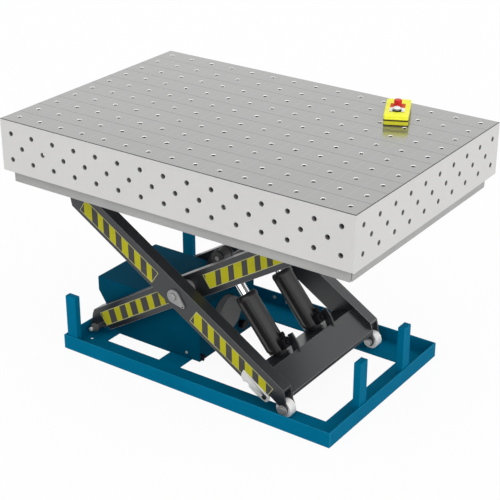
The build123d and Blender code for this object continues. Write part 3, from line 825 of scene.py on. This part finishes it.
# %% Bolts
head_y = 0.3885 - 0.0061
bm = bmesh.new()
for x, z in ((-0.136, 0.037), (-0.0759, 0.0317)):
    hexagon(bm, (x, head_y, z), (0, -1, 0), 0.013, 0.006)
    hexagon(bm, (x, -head_y, z), (0, 1, 0), 0.013, 0.006)
finished(bm, "wall_bolts", pin_steel, "base")
bm = bmesh.new()
for side in (-1, 1):
    hexagon(bm, (-0.1643, side * 0.1831, 0.031), (0, side, 0), 0.011, 0.005)
finished(bm, "cover_bolts", pin_steel, "base")
low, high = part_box("pivot_shaft")
bm = bmesh.new()
for side in (-1, 1):
    nose = [(0.0085, -0.001), (0.0085, 0.004), (0.006, 0.006), (0, 0.006)]
    spun(bm, nose, (PIVOT_X, side * high[1], LOW_Z), (0, side, 0))
finished(bm, "shaft_noses", prop_grey, "base")
print("bolts ready, shaft ends at", [round(c, 4) for c in (*low, *high)])

# %% [markdown]
# ## Deeper platform rims
# The sheet rims under the deck are folded down all round. A box with its edges rounded is all
# they are; each one is made over its CAD rim, a little deeper, with the slits at the corners.

# %% Platform rims
DEEPER = 0.007
for side in ("front", "back", "left", "right"):
    low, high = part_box("platform_rim_" + side)
    low = Vector(low) - Vector((0, 0, DEEPER))
    size = Vector(high) - low
    middle = (Vector(high) + low) / 2
    bm = rounded_box(middle, size, 0.001)
    rim = finished(bm, "rim_" + side, deck_paint, "platform")
    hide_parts("platform_rim_" + side)
print("rims made")

# %% [markdown]
# ## The centre pin's flag
# A flag of plate locks the centre pin: a round head over the pin and a narrow tail that is
# screwed down. The hull of two discs as thick as the plate is that shape in one step; its rims
# are rounded and a turned cap is set on the head.


# %% Pin flags
def flag(bm, side):
    """The plate, its domed cap and the ring round it, on the outer arm's face at side."""
    thick = 0.008
    y = side * (OUTER_Y + thick / 2)
    head = outer(-0.0009, -0.0026)
    tail = outer(0.0521, -0.0036)
    piece = bmesh.new()
    for (x, z), radius in ((head, 0.0268), (tail, 0.0065)):
        place = Matrix.Translation((x, y, z)) @ Matrix.Rotation(math.radians(90), 4, "X")
        bmesh.ops.create_cone(piece, cap_ends=False, segments=48, radius1=radius, radius2=radius,
                              depth=thick, matrix=place)
    bmesh.ops.delete(piece, geom=piece.edges[:] + piece.faces[:], context="EDGES_FACES")
    bmesh.ops.convex_hull(piece, input=piece.verts[:])
    inside = [v for v in piece.verts if not v.link_faces]
    bmesh.ops.delete(piece, geom=inside, context="VERTS")
    bmesh.ops.dissolve_limit(piece, angle_limit=0.01, verts=piece.verts[:], edges=piece.edges[:])
    bmesh.ops.recalc_face_normals(piece, faces=piece.faces)
    rims = [e for e in piece.edges if e.calc_face_angle(0) > 1]
    round_edges(piece, rims, 0.0012)
    merge(bm, piece)
    top = side * (OUTER_Y + thick)
    cap = [(0.0165, -0.001), (0.0165, 0.0014), (0.0148, 0.0014), (0.0148, 0.0070),
           (0.0125, 0.0088), (0, 0.0096)]
    spun(bm, cap, (head[0], top, head[1]), (0, side, 0), 32)
    return (tail[0], top, tail[1])


bm = bmesh.new()
holes = bmesh.new()
for side in (-1, 1):
    end = flag(bm, side)
    # Each tail hole is a thin near-black disc: painted shade standing in for the hole.
    spun(holes, [(0.0030, -0.001), (0.0030, 0.0006), (0, 0.0006)], end, (0, side, 0), 16)
flags = finished(bm, "centre_flags", flag_grey, "outer_arms")
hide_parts("pin_flags")
finished(holes, "flag_hole_painted_shade", bore_painted_shade, "outer_arms")
print("flags made")

# %% [markdown]
# ## Pipes and valves of the cylinders
# A steel pipe lies against each barrel on its front side, with both ends turned into it, and
# a black valve block sits low on the barrel's upper face. The pipe is one circle that is pushed
# along and spun round each bend. LEAD points from the foot pin to the eye, and BARREL is the
# barrel's radius.

# %% Cylinder frame
LEAD = (Vector((eye_xz[0], eye_xz[1])) - Vector((foot_xz[0], foot_xz[1]))).normalized()
BARREL = 0.040


def on_cylinder(y):
    """Places a piece drawn along +Z from the foot pin, with its X across the table."""
    turned = Matrix(((0, 1, 0), (-LEAD[1], 0, LEAD[0]), (LEAD[0], 0, LEAD[1]))).transposed()
    return Matrix.Translation((foot_xz[0], y, foot_xz[1])) @ turned.to_4x4()


def push(bm, ring, by):
    """Extrudes the open ring of edges and moves the new ring."""
    made = bmesh.ops.extrude_edge_only(bm, edges=ring)["geom"]
    verts = [g for g in made if isinstance(g, bmesh.types.BMVert)]
    bmesh.ops.translate(bm, verts=verts, vec=by)
    new = {e for v in verts for e in v.link_edges}
    return [e for e in new if all(v in verts for v in e.verts)]


def bend(bm, ring, centre):
    """Turns the ring a quarter of the way round an axis along Y through centre."""
    verts = list({v for e in ring for v in e.verts})
    made = bmesh.ops.spin(bm, geom=verts + ring, cent=centre, axis=(0, 1, 0), angle=math.pi / 2,
                          steps=6)
    return [g for g in made["geom_last"] if isinstance(g, bmesh.types.BMEdge)]


print("cylinder leans", round(math.degrees(math.atan2(LEAD[1], -LEAD[0])), 1), "degrees")

# %% Pipes and valve blocks
CYLINDER_Y = 0.118
PIPE = 0.0092
PIPE_X = BARREL + PIPE + 0.0002
PIPE_Z = (0.046, 0.262)
TURN = 0.0105
SUNK = 0.002
VALVE = (-0.006, -0.050, 0.0475)
inward = PIPE_X - TURN
for y, word in ((-CYLINDER_Y, "front"), (CYLINDER_Y, "back")):
    body = "barrel_" + word
    place = on_cylinder(y)
    bm = bmesh.new()
    low = Matrix.Translation((SUNK - BARREL, 0, PIPE_Z[0])) @ Matrix.Rotation(-math.pi / 2, 4, "Y")
    made = bmesh.ops.create_circle(bm, cap_ends=False, segments=20, radius=PIPE, matrix=low)
    ring = list({e for v in made["verts"] for e in v.link_edges})
    ring = push(bm, ring, (BARREL - SUNK - inward, 0, 0))
    ring = bend(bm, ring, (-inward, 0, PIPE_Z[0] + TURN))
    ring = push(bm, ring, (0, 0, PIPE_Z[1] - PIPE_Z[0] - 2 * TURN))
    ring = bend(bm, ring, (-inward, 0, PIPE_Z[1] - TURN))
    push(bm, ring, (inward - BARREL + SUNK, 0, 0))
    bmesh.ops.holes_fill(bm, edges=[e for e in bm.edges if e.is_boundary], sides=0)
    bmesh.ops.recalc_face_normals(bm, faces=bm.faces)
    bmesh.ops.transform(bm, matrix=place, verts=bm.verts)
    pipes = finished(bm, "cylinder_pipe_" + word, cylinder_paint, body)
    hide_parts("cylinder_valve_" + word)
    bm = rounded_box(VALVE, (0.040, 0.024, 0.037), 0.0015)
    knob = [(0.0075, -0.001), (0.0075, 0.006), (0.0092, 0.007), (0.0092, 0.020),
            (0.0075, 0.023), (0, 0.024)]
    spun(bm, knob, (0.006, VALVE[1], 0.066), (0, 0, 1), 20)
    hexagon(bm, (VALVE[0], -0.062, VALVE[2]), (0, -1, 0), 0.014, 0.008)
    bmesh.ops.transform(bm, matrix=place, verts=bm.verts)
    finished(bm, "valve_block_" + word, valve_black, body)
print("pipes made")

# %% [markdown]
# ## The hand pendant
# The pendant is a two-part moulded box that lies on the table, turned by 25.3 degrees. CAD
# gives its shells and buttons. The rubber between the shells and the thin labels are made here,
# each as a slab with rounded corners. The rubber stands deeper than the groove, so its dark band
# is also painted shade in the groove, and the dark line under the white label is painted shade.


# %% Pendant labels and gasket
def slab(name, look, size, centre, radius):
    """A slab on the pendant, size and centre in its own frame, with rounded corners."""
    bm = bmesh.new()
    bmesh.ops.create_cube(bm, size=1, matrix=Matrix.Diagonal((*size, 1)))
    upright = [e for e in bm.edges if abs(e.verts[0].co.z - e.verts[1].co.z) > size[2] / 2]
    round_edges(bm, upright, radius, 6)
    bmesh.ops.transform(bm, matrix=PENDANT @ Matrix.Translation(centre), verts=bm.verts)
    finished(bm, name, look, "platform")


# Rubber between the shells, made deeper than the groove: its dark band is also painted shade.
slab("pendant_gasket", rubber_and_painted_shade, (0.0894, 0.1804, 0.0062), (0, 0, 0.0205), 0.007)
slab("pendant_foot", rubber_and_painted_shade, (0.0894, 0.1804, 0.0044), (0, 0, 0.0023), 0.007)
slab("white_label", label_white, (0.054, 0.044, 0.0006), (0, -0.030, 0.0413), 0.003)
# A dark line along the label's lower edge: painted shade.
slab("label_painted_shade_line", rubber_and_painted_shade, (0.054, 0.003, 0.0008), (0, -0.0525, 0.0414), 0.001)
print("pendant dressed")
